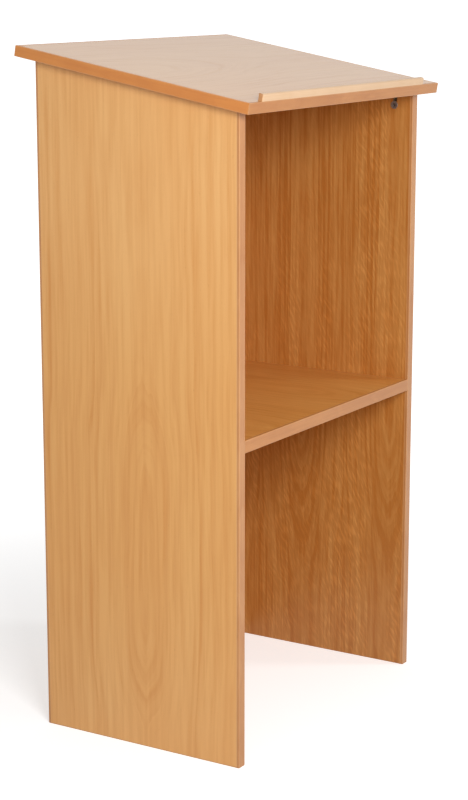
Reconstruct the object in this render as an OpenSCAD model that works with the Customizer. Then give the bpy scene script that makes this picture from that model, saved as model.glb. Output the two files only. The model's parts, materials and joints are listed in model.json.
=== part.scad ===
// Board lectern with a fixed shelf, a sloping reading board and knock-down cam fittings.
// X runs across, Y from the speaker's open side to the audience, Z up from the floor.

/* [Carcass] */
// Width over the two side panels
body_w = 640; // [500:5:800]
// Depth of the side panels
body_d = 410; // [350:5:480]
// Height of the side panels at the speaker's edge
rear_h = 1130; // [1000:5:1250]
// Slope of the reading board in degrees
slope = 10; // [5:0.5:16]
// Step of the front panel behind the front edges of the side panels
front_inset = 2; // [2:0.5:12]

/* [Boards] */
// Thickness of the side panels
side_t = 19; // [18:0.5:25]
// Thickness of the front panel
front_t = 19; // [18:0.5:25]
// Thickness of the shelf
shelf_t = 22; // [18:0.5:28]
// Thickness of the reading board
top_t = 19; // [18:0.5:28]
// Thickness of the solid lippings
lip_t = 5; // [3:0.5:6]
// Radius of the eased arrises on the lippings
arris_r = 1.2; // [0.5:0.1:2]

/* [Shelf] */
// Height of the shelf's underside above the floor
shelf_z = 557; // [350:1:750]

/* [Reading board] */
// Overhang past each side panel
top_side = 21; // [12:1:40]
// Overhang past the side panels at the speaker's edge, along the slope
top_rear = 29; // [18:1:45]
// Overhang past the side panels at the audience's edge, along the slope
top_front = 29; // [18:1:45]

/* [Book stop] */
// Width of the bead along the slope
stop_w = 10; // [9:0.5:18]
// Height of the bead above the board
stop_h = 12.5; // [9:0.5:22]
// Distance from each end of the board to the bead, before its shift
stop_end = 51.5; // [20:0.5:120]
// Shift of the bead towards the speaker's left
stop_shift = 10.5; // [0:0.5:15]
// Step of the bead in from the board's rear arris
stop_inset = 0.5; // [0:0.1:2]
// Radius of the bead's upper arris at the speaker's side
stop_rear_r = 4.3; // [1:0.1:4.4]
// Radius of the bead's other upper arris and of its corners in plan
stop_r = 2.5; // [1:0.1:4]
// Number of sunk pins in the bead
stop_pin_count = 5; // [3:1:9]
// Diameter of the pins
pin_d = 1.6; // [1.2:0.1:2]
// Depth of the pins in the board
pin_grip = 12; // [8:0.5:15]
// Filling over the sunk pins
pin_cover = 1.5; // [1:0.1:2.5]

/* [Cam fittings] */
// Diameter of the cams
cam_d = 15; // [15:0.5:16]
// Distance from a board's edge to the centre of its cams
cam_edge = 34; // [24:0.5:40]
// Turn from locked to released, in degrees
cam_turn = 190; // [180:5:200]
// Width of the blades of the driver recess
driver_slot = 1.6; // [1.2:0.1:2]
// Length of the blades of the driver recess
driver_len = 7.5; // [6:0.1:9]
// Depth of the driver recess
driver_depth = 3; // [2:0.1:3.2]
// Diameter of the bolt's ball head
head_d = 6.8; // [6.4:0.1:7]
// Diameter of the bolt's neck
neck_d = 4.6; // [4:0.1:4.8]
// Diameter of the bolt's shank
shank_d = 6; // [5.4:0.1:6.4]
// Diameter of the bolt's collar
collar_d = 7.4; // [7:0.1:7.6]
// Thickness of the bolt's collar
collar_t = 2; // [1:0.1:3]
// Diameter of the bolt's screwed end
screw_d = 5; // [4.6:0.1:5.2]
// Length of the bolt's screwed end
screw_l = 11; // [8:0.5:12]
// Chamfer at the tip of the screwed end
screw_tip = 0.8; // [0.3:0.1:1.2]
// Diameter of the holes and channels that the bolts run in
bolt_hole_d = 8; // [8:0.1:9]

/* [Fitting places] */
// Rear bolts of the reading board, along the slope from the side panels' rear edge
top_cam_rear = 34; // [30:1:60]
// Front cams of the reading board, from the front panel's inner face
top_cam_front = 14; // [12:1:40]
// Rear bolts of the shelf, from its rear edge
shelf_cam_rear = 50; // [40:1:90]
// Front bolts of the shelf, from the front panel's inner face
shelf_cam_front = 59; // [40:1:90]
// Lower bolts of the front panel, above the floor
front_cam_low = 120; // [60:5:200]
// Upper bolts of the front panel, below the side panels' rear height
front_cam_high = 130; // [60:5:200]

/* [Dowels] */
// Diameter of the dowels
dowel_d = 8; // [6:0.5:8]
// Depth of a dowel in the face of a board
dowel_face = 12; // [8:0.5:13]
// Depth of a dowel in the edge of a board
dowel_edge = 18; // [14:0.5:24]
// Distance from a bolt to the dowel beside it
dowel_pitch = 32; // [24:1:48]
// Height of the middle dowels of the front panel above the shelf
dowel_mid = 80; // [40:5:160]
// Chamfer on the ends of the dowels
dowel_chamfer = 1; // [0.5:0.1:1.5]
// Distance from the side panels to the dowels in the shelf's front edge
shelf_dowel_in = 150; // [80:5:200]

/* [Clearances] */
// Radial clearance of a pin, dowel or screw in its hole
fit_gap = 0.05; // [0.03:0.01:0.1]
// Clearance round the bolt's head and neck inside the cam
head_room = 0.3; // [0.2:0.05:0.4]
// Space left past the blind end of a pin, dowel, screw or cam
end_room = 0.5; // [0.3:0.1:0.8]
// Gap between a bolt's collar and the board that it bears on
collar_gap = 0.02; // [0.01:0.01:0.05]

/* [Hidden] */
$fn = 48;

LEFT = -1;
RIGHT = 1;
REAR = 0;
FRONT = 1;
LOW = 0;
HIGH = 1;

veneer_oak = "#d9a86c";
solid_oak = "#cf9458";
bead_oak = "#e4c298";
zinc = "#8d8f92";
steel = "#6f6a60";
beech = "#dcbd8c";

// Cuts run this far past the faces that they open
over = 1;
// Round pieces of the fittings
cam_r = cam_d / 2 - fit_gap;
head_r = head_d / 2;
neck_r = neck_d / 2;
// The head's centre lies this far past the cam's axis when it is locked
head_offset = 0.3;
// Gap between the locked head and the cam's curve
lock_gap = 0.1;
// Metal round the widest part of the cam's curve, and under the head at its blind end
cam_wall = 1.25;
cam_floor = 0.8;
cam_chamfer = 0.4;
// The cam's inner curve grows from the locked radius to the open one, in straight steps of this turn
cam_lock_r = head_r + head_offset + lock_gap;
cam_open_r = cam_r - cam_wall;
cam_step = 10;

// Inner faces of the side panels and of the front panel
inner_x = body_w / 2 - side_t;
front_in = body_d - front_inset - front_t;
shelf_d = front_in;

// The reading board, measured along the slope from the side panels' rear edge
slope_len = body_d / cos(slope);
board_start = -top_rear;
board_end = slope_len + top_front;
top_w = body_w + 2 * top_side;
stop_start = board_start + stop_inset;
stop_len = top_w - 2 * stop_end;
// The pins pass the joint between the lipping and the board
pin_in = max(lip_t + pin_d, stop_inset + stop_w / 2);
pin_reach = stop_h - pin_cover;

// Stations of the bolts
top_front_at = (front_in - top_cam_front - cam_edge * sin(slope)) / cos(slope);
top_at = [top_cam_rear, top_front_at];
shelf_at = [shelf_cam_rear, shelf_d - shelf_cam_front];
front_at = [front_cam_low, rear_h - front_cam_high];
// Stations of the dowels beside them
top_dowel_at = [top_at[REAR] + dowel_pitch, top_at[FRONT] - dowel_pitch];
shelf_dowel_at = [shelf_at[REAR] + dowel_pitch, shelf_at[FRONT] - dowel_pitch];
front_dowel_at = [
    front_at[LOW] + dowel_pitch, shelf_z + shelf_t + dowel_mid, front_at[HIGH] - dowel_pitch
];
shelf_front_dowel_x = inner_x - shelf_dowel_in;

// Everything is drawn with Y = 0 at the side panels' rear edges, then moved to centre its box
function eased(a, n, r, out) = a * cos(slope) - n * sin(slope) - out * r * (cos(slope) + sin(slope) - 1);
rear_y = min(
    eased(board_start, top_t, arris_r, -1),
    eased(stop_start, top_t + stop_h, stop_rear_r, -1)
);
front_y = eased(board_end, 0, arris_r, 1);
y_shift = -(rear_y + front_y) / 2;

// Height of the side panels' sloping top at a depth
function top_z(y) = rear_h + y * tan(slope);
// How deep a cam of a board's thickness is
function cam_h(board_t) = board_t / 2 + head_r + head_room + cam_floor;
// Radius of the cam's inner curve, a turn back from the locked place
function curve_r(a) = a > cam_turn ? cam_lock_r : cam_lock_r + (cam_open_r - cam_lock_r) * a / cam_turn;

// A seat is the point where a fitting's axis meets its board's face, with the way to the
// board that it pulls on, the way out of the face, and the board's thickness
function top_seat(side, a) = [
    [
        side * inner_x,
        a * cos(slope) + cam_edge * sin(slope),
        rear_h + a * sin(slope) - cam_edge * cos(slope)
    ],
    [0, -sin(slope), cos(slope)],
    [-side, 0, 0],
    side_t
];
function shelf_seat(side, y) = [[side * (inner_x - cam_edge), y, shelf_z], [side, 0, 0], [0, 0, -1], shelf_t];
function front_seat(side, z) = [[side * (inner_x - cam_edge), front_in, z], [side, 0, 0], [0, -1, 0], front_t];

module in_frame() {
    translate([0, y_shift, 0]) children();
}

// X across, Y up the slope from the side panels' rear corner, Z square to the board
module on_slope() {
    translate([0, 0, rear_h]) rotate([slope, 0, 0]) children();
}

// Y towards the board that the fitting pulls on, Z out of the face
module at_seat(seat) {
    o = seat[0];
    b = seat[1];
    n = seat[2];
    x = cross(b, n);
    multmatrix([
        [x[0], b[0], n[0], o[0]],
        [x[1], b[1], n[1], o[1]],
        [x[2], b[2], n[2], o[2]],
        [0, 0, 0, 1]
    ]) children();
}

// A cylinder along the seat's bolt axis, from one distance off the cam's centre to another
module along_bolt(seat, from, to, r) {
    at_seat(seat) translate([0, from, -seat[3] / 2]) rotate([-90, 0, 0]) cylinder(h = to - from, r = r);
}

module cam_bore(seat) {
    at_seat(seat) translate([0, 0, -cam_h(seat[3]) - end_room])
        cylinder(h = cam_h(seat[3]) + end_room + over, d = cam_d);
}

module bolt_bore(seat) {
    along_bolt(seat, 0, cam_edge + over, bolt_hole_d / 2);
}

// A bolt hole that is routed from the face, so that it stays open to it
module bolt_channel(seat) {
    bolt_bore(seat);
    at_seat(seat) translate([-bolt_hole_d / 2, 0, -seat[3] / 2])
        cube([bolt_hole_d, cam_edge + over, seat[3] / 2 + over]);
}

module screw_hole(seat) {
    along_bolt(seat, cam_edge - over, cam_edge + screw_l + end_room, screw_d / 2 + fit_gap);
}

module dowel_hole(seat) {
    along_bolt(
        seat, cam_edge - dowel_edge - end_room, cam_edge + dowel_face + end_room, dowel_d / 2 + fit_gap
    );
}

module dowel_shape(length) {
    r = dowel_d / 2;
    c = dowel_chamfer;
    rotate_extrude()
        polygon([[0, 0], [r - c, 0], [r, c], [r, length - c], [r - c, length], [0, length]]);
}

module dowel(seat) {
    at_seat(seat) translate([0, cam_edge - dowel_edge, -seat[3] / 2]) rotate([-90, 0, 0])
        dowel_shape(dowel_edge + dowel_face);
}

// Neck, shank, collar against the pulled board, and screwed end, as radius and place along the bolt
function bolt_profile() =
    let (
        shank_start = cam_r + head_room,
        collar_end = cam_edge - collar_gap,
        tip = cam_edge + screw_l,
        shank_r = shank_d / 2,
        collar_r = collar_d / 2,
        screw_r = screw_d / 2
    ) [
        [0, head_offset], [neck_r, head_offset], [neck_r, shank_start],
        [shank_r, shank_start], [shank_r, collar_end - collar_t],
        [collar_r, collar_end - collar_t], [collar_r, collar_end],
        [screw_r, collar_end], [screw_r, tip - screw_tip], [screw_r - screw_tip, tip], [0, tip]
    ];

// The turned bolt, with its ball head in the cam
module bolt(seat) {
    at_seat(seat) translate([0, 0, -seat[3] / 2]) rotate([-90, 0, 0]) {
        translate([0, 0, head_offset]) sphere(r = head_r);
        rotate_extrude() polygon(bolt_profile());
    }
}

// The curve that draws the head in as the cam turns to its locked place. Its corners lie half a
// step off the locked and released places.
module cam_curve() {
    polygon([for (a = [cam_step / 2 : cam_step : 360]) curve_r(a) * [sin(a), cos(a)]]);
}

// The sweep of the neck through the cam's wall, from the locked place to the released one
module neck_sweep() {
    lead = asin((neck_r + head_room) / cam_lock_r);
    sweep = cam_turn + lead;
    steps = ceil(sweep / cam_step);
    polygon(concat([[0, 0]], [
        for (i = [0 : steps]) let (a = i * sweep / steps - lead) cam_d * [sin(a), cos(a)]
    ]));
}

// The cam's round blank, with a chamfered rim at the board's face
module cam_blank(h) {
    rotate_extrude()
        polygon([[0, -h], [cam_r, -h], [cam_r, -cam_chamfer], [cam_r - cam_chamfer, 0], [0, 0]]);
}

module cam(seat) {
    mid = -seat[3] / 2;
    pocket = head_r + head_room;
    entry = head_r + head_room / 2;
    slot = neck_r + head_room;
    at_seat(seat) difference() {
        cam_blank(cam_h(seat[3]));
        translate([0, 0, mid - pocket]) linear_extrude(2 * pocket) cam_curve();
        translate([0, 0, mid - slot]) linear_extrude(2 * slot) neck_sweep();
        translate([0, 0, mid]) rotate([0, 0, -cam_turn]) rotate([-90, 0, 0]) cylinder(h = cam_d, r = entry);
        for (turn = [45, 135])
            rotate([0, 0, turn]) translate([-driver_len / 2, -driver_slot / 2, -driver_depth])
                cube([driver_len, driver_slot, driver_depth + over]);
    }
}

// A bar's section with the two corners on its far side eased
module eased_section(w, h, r) {
    square([w - r, h]);
    translate([0, r]) square([w, h - 2 * r]);
    for (z = [r, h - r])
        translate([w - r, z]) circle(r = r);
}

// The part of a side panel's outline between two depths
module side_outline(from, to) {
    polygon([[from, 0], [to, 0], [to, top_z(to)], [from, top_z(from)]]);
}

// Turns an outline in depth and height to stand across X
module upright(thickness) {
    rotate([90, 0, 90]) linear_extrude(thickness) children();
}

module side_panel(side) {
    difference() {
        translate([side > 0 ? inner_x : -body_w / 2, 0, 0])
            upright(side_t) side_outline(lip_t, body_d - lip_t);
        for (a = top_at) {
            cam_bore(top_seat(side, a));
            bolt_channel(top_seat(side, a));
        }
        for (a = top_dowel_at)
            dowel_hole(top_seat(side, a));
        for (y = shelf_at)
            screw_hole(shelf_seat(side, y));
        for (y = shelf_dowel_at)
            dowel_hole(shelf_seat(side, y));
        for (z = front_at)
            screw_hole(front_seat(side, z));
        for (z = front_dowel_at)
            dowel_hole(front_seat(side, z));
    }
}

// A strip on a long edge of a side panel, its eased corners facing out at the rear or the front
module side_lipping(side, end) {
    start = end == REAR ? 0 : body_d - lip_t;
    intersection() {
        translate([side > 0 ? inner_x : -body_w / 2, 0, 0])
            upright(side_t) side_outline(start, start + lip_t);
        translate([side * (body_w - side_t) / 2, end == REAR ? lip_t : body_d - lip_t, -over])
            rotate([0, 0, end == REAR ? -90 : 90]) translate([0, -side_t / 2, 0])
                linear_extrude(top_z(body_d) + 2 * over) eased_section(lip_t, side_t, arris_r);
    }
}

module left_side_panel() {
    color(veneer_oak) in_frame() side_panel(LEFT);
}

module right_side_panel() {
    color(veneer_oak) in_frame() side_panel(RIGHT);
}

module left_rear_lipping() {
    color(solid_oak) in_frame() side_lipping(LEFT, REAR);
}

module left_front_lipping() {
    color(solid_oak) in_frame() side_lipping(LEFT, FRONT);
}

module right_rear_lipping() {
    color(solid_oak) in_frame() side_lipping(RIGHT, REAR);
}

module right_front_lipping() {
    color(solid_oak) in_frame() side_lipping(RIGHT, FRONT);
}

module front_panel() {
    color(veneer_oak) in_frame() difference() {
        translate([-inner_x, 0, 0]) upright(2 * inner_x) side_outline(front_in, front_in + front_t);
        for (side = [LEFT, RIGHT]) {
            for (z = front_at) {
                cam_bore(front_seat(side, z));
                bolt_bore(front_seat(side, z));
            }
            for (z = front_dowel_at)
                dowel_hole(front_seat(side, z));
        }
        shelf_front_dowel_holes();
    }
}

// Dowels that run level from the shelf's front edge into the front panel
module at_shelf_front() {
    for (side = [LEFT, RIGHT])
        translate([side * shelf_front_dowel_x, shelf_d - dowel_edge, shelf_z + shelf_t / 2])
            rotate([-90, 0, 0]) children();
}

module shelf_front_dowel_holes() {
    at_shelf_front() translate([0, 0, -end_room])
        cylinder(h = dowel_edge + dowel_face + 2 * end_room, r = dowel_d / 2 + fit_gap);
}

module shelf() {
    color(veneer_oak) in_frame() difference() {
        translate([-inner_x, lip_t, shelf_z]) cube([2 * inner_x, shelf_d - lip_t, shelf_t]);
        for (side = [LEFT, RIGHT]) {
            for (y = shelf_at) {
                cam_bore(shelf_seat(side, y));
                bolt_bore(shelf_seat(side, y));
            }
            for (y = shelf_dowel_at)
                dowel_hole(shelf_seat(side, y));
        }
        shelf_front_dowel_holes();
    }
}

module shelf_lipping() {
    color(solid_oak) in_frame() translate([inner_x, lip_t, shelf_z]) rotate([0, 0, 180])
        upright(2 * inner_x) eased_section(lip_t, shelf_t, arris_r);
}

module top_board() {
    color(veneer_oak) in_frame() difference() {
        on_slope() translate([-top_w / 2 + lip_t, board_start + lip_t, 0])
            cube([top_w - 2 * lip_t, board_end - board_start - 2 * lip_t, top_t]);
        for (side = [LEFT, RIGHT]) {
            for (a = top_at)
                screw_hole(top_seat(side, a));
            for (a = top_dowel_at)
                dowel_hole(top_seat(side, a));
        }
        at_stop_pins() translate([0, 0, -pin_grip - end_room])
            cylinder(h = pin_grip + end_room + over, r = pin_d / 2 + fit_gap);
    }
}

// A mitred strip along an edge of the reading board, drawn on its own and turned into place
module mitred_lipping(length) {
    intersection() {
        translate([-length / 2, 0, 0]) upright(length) eased_section(lip_t, top_t, arris_r);
        translate([0, 0, -over]) linear_extrude(top_t + 2 * over)
            polygon([
                [-length / 2, lip_t], [length / 2, lip_t],
                [length / 2 - lip_t, 0], [lip_t - length / 2, 0]
            ]);
    }
}

module top_rear_lipping() {
    color(solid_oak) in_frame() on_slope() translate([0, board_start + lip_t, 0])
        rotate([0, 0, 180]) mitred_lipping(top_w);
}

module top_front_lipping() {
    color(solid_oak) in_frame() on_slope() translate([0, board_end - lip_t, 0])
        mitred_lipping(top_w);
}

module top_left_lipping() {
    color(solid_oak) in_frame() on_slope()
        translate([-top_w / 2 + lip_t, (board_start + board_end) / 2, 0])
            rotate([0, 0, 90]) mitred_lipping(board_end - board_start);
}

module top_right_lipping() {
    color(solid_oak) in_frame() on_slope()
        translate([top_w / 2 - lip_t, (board_start + board_end) / 2, 0])
            rotate([0, 0, -90]) mitred_lipping(board_end - board_start);
}

// The bead's section has round upper arrises, and its outline in plan has round corners
module book_stop() {
    color(bead_oak) in_frame() on_slope() difference() {
        translate([-stop_shift, stop_start, top_t]) intersection() {
            translate([-stop_len / 2, 0, 0]) upright(stop_len) {
                square([stop_w - stop_r, stop_h - stop_rear_r]);
                translate([stop_rear_r, 0]) {
                    square([stop_w - stop_rear_r, stop_h - stop_r]);
                    square([stop_w - stop_rear_r - stop_r, stop_h]);
                }
                translate([stop_rear_r, stop_h - stop_rear_r]) circle(r = stop_rear_r);
                translate([stop_w - stop_r, stop_h - stop_r]) circle(r = stop_r);
            }
            linear_extrude(stop_h) {
                translate([stop_r - stop_len / 2, 0]) square([stop_len - 2 * stop_r, stop_w]);
                translate([-stop_len / 2, stop_r]) square([stop_len, stop_w - 2 * stop_r]);
                for (x = [stop_r - stop_len / 2, stop_len / 2 - stop_r], y = [stop_r, stop_w - stop_r])
                    translate([x, y]) circle(r = stop_r);
            }
        }
        pin_row() translate([0, 0, -over]) cylinder(h = pin_reach + over + fit_gap, r = pin_d / 2 + fit_gap);
    }
}

// The pins stand in a row along the bead, their middle at the board's surface
module pin_row() {
    pitch = (stop_len - 2 * stop_end) / (stop_pin_count - 1);
    for (i = [0 : stop_pin_count - 1]) {
        x = (i - (stop_pin_count - 1) / 2) * pitch - stop_shift;
        translate([x, board_start + pin_in, top_t]) children();
    }
}

module at_stop_pins() {
    on_slope() pin_row() children();
}

module stop_pins() {
    color(steel) in_frame() at_stop_pins() translate([0, 0, -pin_grip])
        cylinder(h = pin_grip + pin_reach, d = pin_d);
}

module top_cam(side, end) {
    color(zinc) in_frame() cam(top_seat(side, top_at[end]));
}

module shelf_cam(side, end) {
    color(zinc) in_frame() cam(shelf_seat(side, shelf_at[end]));
}

module front_cam(side, level) {
    color(zinc) in_frame() cam(front_seat(side, front_at[level]));
}

module top_cam_left_rear() { top_cam(LEFT, REAR); }
module top_cam_left_front() { top_cam(LEFT, FRONT); }
module top_cam_right_rear() { top_cam(RIGHT, REAR); }
module top_cam_right_front() { top_cam(RIGHT, FRONT); }
module shelf_cam_left_rear() { shelf_cam(LEFT, REAR); }
module shelf_cam_left_front() { shelf_cam(LEFT, FRONT); }
module shelf_cam_right_rear() { shelf_cam(RIGHT, REAR); }
module shelf_cam_right_front() { shelf_cam(RIGHT, FRONT); }
module front_cam_left_low() { front_cam(LEFT, LOW); }
module front_cam_left_high() { front_cam(LEFT, HIGH); }
module front_cam_right_low() { front_cam(RIGHT, LOW); }
module front_cam_right_high() { front_cam(RIGHT, HIGH); }

module top_bolts() {
    color(steel) in_frame() for (side = [LEFT, RIGHT], a = top_at)
        bolt(top_seat(side, a));
}

module shelf_bolts() {
    color(steel) in_frame() for (side = [LEFT, RIGHT], y = shelf_at)
        bolt(shelf_seat(side, y));
}

module front_bolts() {
    color(steel) in_frame() for (side = [LEFT, RIGHT], z = front_at)
        bolt(front_seat(side, z));
}

module top_dowels() {
    color(beech) in_frame() for (side = [LEFT, RIGHT], a = top_dowel_at)
        dowel(top_seat(side, a));
}

module shelf_dowels() {
    color(beech) in_frame() for (side = [LEFT, RIGHT], y = shelf_dowel_at)
        dowel(shelf_seat(side, y));
}

module front_dowels() {
    color(beech) in_frame() for (side = [LEFT, RIGHT], z = front_dowel_at)
        dowel(front_seat(side, z));
}

module shelf_front_dowels() {
    color(beech) in_frame() at_shelf_front() dowel_shape(dowel_edge + dowel_face);
}

left_side_panel();
left_rear_lipping();
left_front_lipping();
right_side_panel();
right_rear_lipping();
right_front_lipping();
front_panel();
shelf();
shelf_lipping();
top_board();
top_rear_lipping();
top_front_lipping();
top_left_lipping();
top_right_lipping();
book_stop();
stop_pins();
top_cam_left_rear();
top_cam_left_front();
top_cam_right_rear();
top_cam_right_front();
shelf_cam_left_rear();
shelf_cam_left_front();
shelf_cam_right_rear();
shelf_cam_right_front();
front_cam_left_low();
front_cam_left_high();
front_cam_right_low();
front_cam_right_high();
top_bolts();
shelf_bolts();
front_bolts();
top_dowels();
shelf_dowels();
front_dowels();
shelf_front_dowels();
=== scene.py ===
import json
import math
from dataclasses import dataclass, replace
from functools import cache, partialmethod
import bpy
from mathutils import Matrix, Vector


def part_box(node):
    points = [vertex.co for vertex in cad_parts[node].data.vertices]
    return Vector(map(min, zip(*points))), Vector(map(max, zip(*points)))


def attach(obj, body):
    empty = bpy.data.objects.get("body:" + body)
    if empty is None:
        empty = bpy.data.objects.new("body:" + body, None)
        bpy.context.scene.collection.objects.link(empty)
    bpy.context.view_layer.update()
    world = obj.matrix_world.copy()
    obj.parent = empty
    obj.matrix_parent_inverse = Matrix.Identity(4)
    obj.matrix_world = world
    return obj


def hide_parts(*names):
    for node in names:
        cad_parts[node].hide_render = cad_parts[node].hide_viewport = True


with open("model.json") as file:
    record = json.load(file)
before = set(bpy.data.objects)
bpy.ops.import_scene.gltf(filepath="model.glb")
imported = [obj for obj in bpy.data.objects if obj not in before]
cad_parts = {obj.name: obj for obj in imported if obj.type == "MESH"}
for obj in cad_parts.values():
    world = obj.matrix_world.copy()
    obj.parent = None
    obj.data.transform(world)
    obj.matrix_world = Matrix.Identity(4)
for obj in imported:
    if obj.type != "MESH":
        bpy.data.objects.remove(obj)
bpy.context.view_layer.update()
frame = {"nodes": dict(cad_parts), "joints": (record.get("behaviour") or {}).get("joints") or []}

from types import SimpleNamespace

import bmesh
import bpy
import numpy as np
from bpy.props import FloatProperty, FloatVectorProperty, IntProperty, PointerProperty
from mathutils import Matrix, Vector

bl_info = {
    "name": "Oak Board Lectern",
    "version": (1, 0, 0),
    "blender": (4, 5, 0),
    "location": "View3D > Sidebar > Lectern",
    "description": "Finishes the boards, lippings and fittings of a lectern and sets up its stage",
    "category": "Object",
}

CARCASS = "carcass"
ACROSS_X = Vector((1, 0, 0))
ACROSS_Y = Vector((0, 1, 0))
UP = Vector((0, 0, 1))
CAMS = sorted(joint["child"] for joint in frame["joints"])
WAY = "way"

# How the nodes of a tree are laid out
NODES_IN_ROW = 12
NODE_WIDTH = 190
NODE_HEIGHT = 260

# How fast each noise of the figure changes along its three parts
WANDER_PACE = (7.0, 3.7, 2.6)
DIP_PACE = (4.0, 1.0, 1.0)
RIPPLE_PACE = (60.0, 1.0, 4.0)
PATCH_PACE = (0.5, 1.0, 5.0)
FLOW_PACE = (0.7, 1.0, 2.0)
STREAK_PACE = (3.2, 1.0, 9.0)
BEND_PACE = (30.0, 1.0, 12.0)
STRIP_PACE = 1.4
WEAR_PACE = (45.0, 45.0, 45.0)

# Where in the range of a noise its effect begins and is full
EVEN_EDGES = (0.3, 0.7)
WIDE_EDGES = (0.2, 0.8)
PATCH_EDGES = (0.35, 0.68)
FLECK_EDGES = (0.42, 0.7)
STRIP_EDGES = (0.38, 0.64)
DRIFT_EDGES = (0.25, 0.75)
GRIME_EDGES = (0.45, 0.75)
SPECKLE_EDGES = (0.35, 0.7)
LEAST_STRIP = 0.2

# The shape of a growth ring in shares of its width, and how faint it may be
RIPPLE = 0.8
BAND_PEAK = 0.2
BAND_END = 0.75
WEAKEST_RING = 0.2
WEAKEST_PATCH = 0.15
MARK_STEP = 17.0

# Sizes of the fibres in metres, and where the pores show
FINE_WIDTH = 0.004
FINE_LENGTH = 0.13
FINE_SEED = 5
PORE_EDGE = 0.78
PORE_SPREAD = 0.4
PORE_SOFTNESS = 0.1
BAND_OPEN = 0.6
LEAST_OPEN = 0.4
BEND_REACH = 0.02

# How far each mark lightens or darkens the wood
BAND_DARK = 0.5
FLOW_LIGHT = -0.02
FLOW_DARK = 0.28
STREAK_LIGHT = -0.4
STREAK_DARK = 0.34
FINE_LIGHT = -0.1
FINE_DARK = 0.24
RING_LIGHT = -0.06
RING_DARK = 0.1
WARM_SHARE = 0.4
PORE_SHADE = 0.4
FLECK_TINT = (1.24, 1.32, 1.45)

# Painted sheen on the outer leaves: the place along the grain, from the board's middle, where it is least,
# the distance from that place where it begins and where it is full, and its tint
LEAST_SHEEN_PLACE = -0.13
UNSHEENED_REACH = 0.1
PAINTED_SHEEN_REACH = 0.6
PAINTED_SHEEN_TINT = (1.08, 1.17, 1.42)

# The finish of a board: skins in metres, shares of one tone over another, roughness and relief
JOINT_LINE = 0.0004
# FOOT_SKIN is a darker band, in the end grain's colour, along the ends of the panels and upright lippings,
# at their feet
FOOT_SKIN = 0.0014
END_SKIN = 0.0003
JOINT_SHARE = 0.18
WEAR_SHARE = 0.35
END_SHARE = 0.7
PORE_DEPTH = 0.8
PORE_DULLNESS = 0.14
BAND_DULLNESS = 0.05
CORE_ROUGHNESS = 0.85
COAT_ROUGHNESS = 0.2
WOOD_RELIEF = 0.35
RELIEF_DISTANCE = 0.0004
CHIP_DARK = (0.22, 0.125, 0.06)
CHIP_LIGHT = (0.52, 0.35, 0.19)
BEAD_PORES = 0.1

# The finish of the fittings
METAL_LIFT = 1.18
METALLIC = 0.9
FITTING_RELIEF = 0.3
GRIME_SHARE = 0.5
GRIME_SPREAD = 6
POLISH = -0.06
DULLNESS = 0.08
ZINC_GRIME = (0.1, 0.1, 0.1)
STEEL_GRIME = (0.05, 0.045, 0.04)
WIRE_GRIME = (0.2, 0.2, 0.2)
BEECH_DARK = (0.62, 0.42, 0.23)
BEECH_LIGHT = (0.74, 0.53, 0.32)
BEECH_ROUGHNESS = (0.6, 0.75)
BEECH_SPECKLE = 900.0

# The arrow's triangle before it is scaled, and the distance at which two points are one
TRIANGLE_WIDTH = math.sqrt(3)
TRIANGLE_HEIGHT = 1.5
SAME_POINT = 1e-6

# The thread's steps round one turn, and its taper in shares of its length and height
TURN_STEPS = 24
RUN_IN = 0.12
RUN_OUT = 0.92
THIN = 0.05

# The stage: place, aim and size of each lamp, the floor, and the camera
KEY_LAMP = ((-1.7, -1.6, 1.56), (0.0, 0.0, 0.65), 0.8)
FILL_LAMP = ((1.83, -2.63, 1.8), (0.0, 0.0, 0.6), 0.5)
FLOOR_REACH = 150.0
FLOOR_TONE = (0.75, 0.75, 0.75)
FLOOR_ROUGHNESS = 0.9
FLOOR_DISTANCES = (0.5, 2.2)
FLOOR_LIFTS = (0.53, 0.9)
WHITE = (1.0, 1.0, 1.0)
SENSOR = 36.0
SIGHT = 400.0


def widest_face_normal(node):
    """The way that a node's largest facet points, turned upwards."""
    facet = max(frame["nodes"][node].data.polygons, key=lambda polygon: polygon.area)
    normal = facet.normal.copy()
    return normal if normal.z > 0 else -normal


TOP_NORMAL = widest_face_normal("top_board")
UP_SLOPE = TOP_NORMAL.cross(ACROSS_X)


# Node trees

GEOMETRY = "NodeSocketGeometry"
MATERIAL = "NodeSocketMaterial"
INPUT_KINDS = {float: "NodeSocketFloat", int: "NodeSocketInt", tuple: "NodeSocketVector"}
OUTPUT_KINDS = {"VALUE": "NodeSocketFloat", "RGBA": "NodeSocketColor", "GEOMETRY": GEOMETRY}
NOWHERE = (0.0, 0.0, 0.0)


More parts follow.
